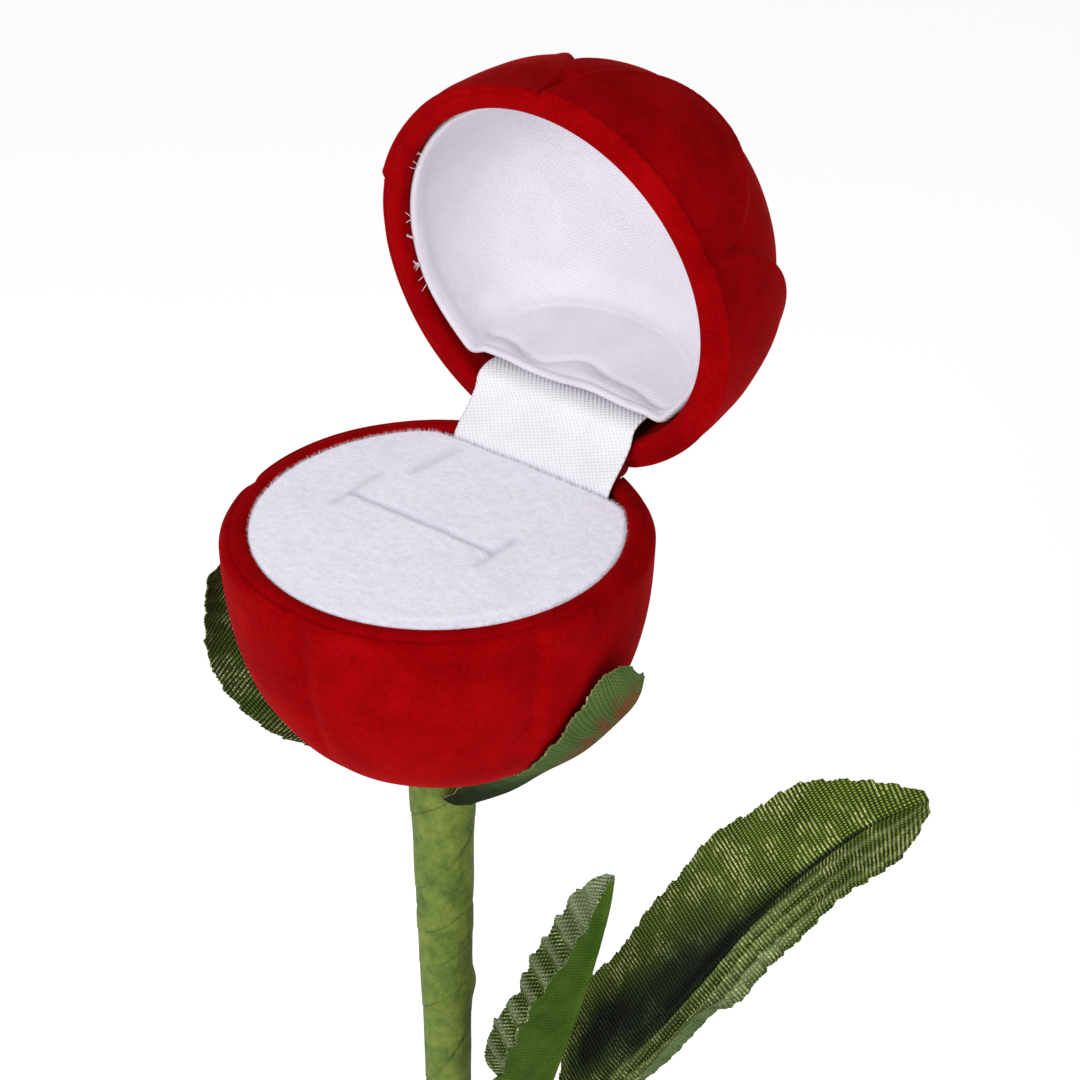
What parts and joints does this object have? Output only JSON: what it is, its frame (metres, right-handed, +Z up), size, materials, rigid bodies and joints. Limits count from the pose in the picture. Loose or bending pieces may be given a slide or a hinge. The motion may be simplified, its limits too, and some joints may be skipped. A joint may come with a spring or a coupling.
{
  "type": "rose ring gift box",
  "caption": "Flocked rose-bud ring box on a taped stem: hinged domed lid lined with satin, plush slit ring pad, calyx leaves and a leaf spray.",
  "frame": {"origin": "centre of the stem's foot, on the stem's axis", "axes": "+Z up the stem; -Y is the front of the box, where the lid opens; +Y is the hinge side; +X is to the right seen from the front"},
  "size_m": [0.0794, 0.0733, 0.2775],
  "materials": {
    "velvet": "moulded plastic, flocked with short red velvet pile",
    "plush": "short white plush, brushed",
    "foam": "soft open-cell foam",
    "card": "plain white card",
    "hinge_steel": "thin pressed sheet, bright",
    "ribbon": "white woven ribbon, fine diagonal twill",
    "satin": "white satin, fine diagonal weave, soft sheen",
    "wire": "annealed florist's wire",
    "stem_plastic": "extruded green tube",
    "tape": "crepe florist's tape, waxed, wound in a helix",
    "glue": "hot-melt glue, cloudy",
    "leaf_fabric": "stiffened open-weave cloth, printed green, pressed veins"
  },
  "bodies": {
    "base": {"base_shell": "velvet", "pad_cover": "plush", "pad_foam": "foam", "pad_card": "card", "hinge_leaf_base": "hinge_steel", "hinge_pin": "hinge_steel", "hinge_ribbon": "ribbon", "stem_wire": "wire", "stem_tube": "stem_plastic", "stem_tape": "tape", "stem_glue": "glue", "calyx_leaf_right": "leaf_fabric", "calyx_leaf_left": "leaf_fabric", "binding_tape": "tape", "spray_stalk": "tape", "petiole_large": "tape", "petiole_small": "tape", "leaf_large": "leaf_fabric", "leaf_small": "leaf_fabric"},
    "lid": {"lid_shell": "velvet", "lid_card": "card", "lid_lining": "satin", "hinge_leaf_lid": "hinge_steel"}
  },
  "joints": [
    {"name": "lid_hinge", "type": "hinge", "parent": "base", "child": "lid", "pos_m": [0, 0.0225, 0.2303], "axis": [1, 0, 0], "range_deg": [0, 82.8], "deforming": ["hinge_ribbon"]}
  ]
}
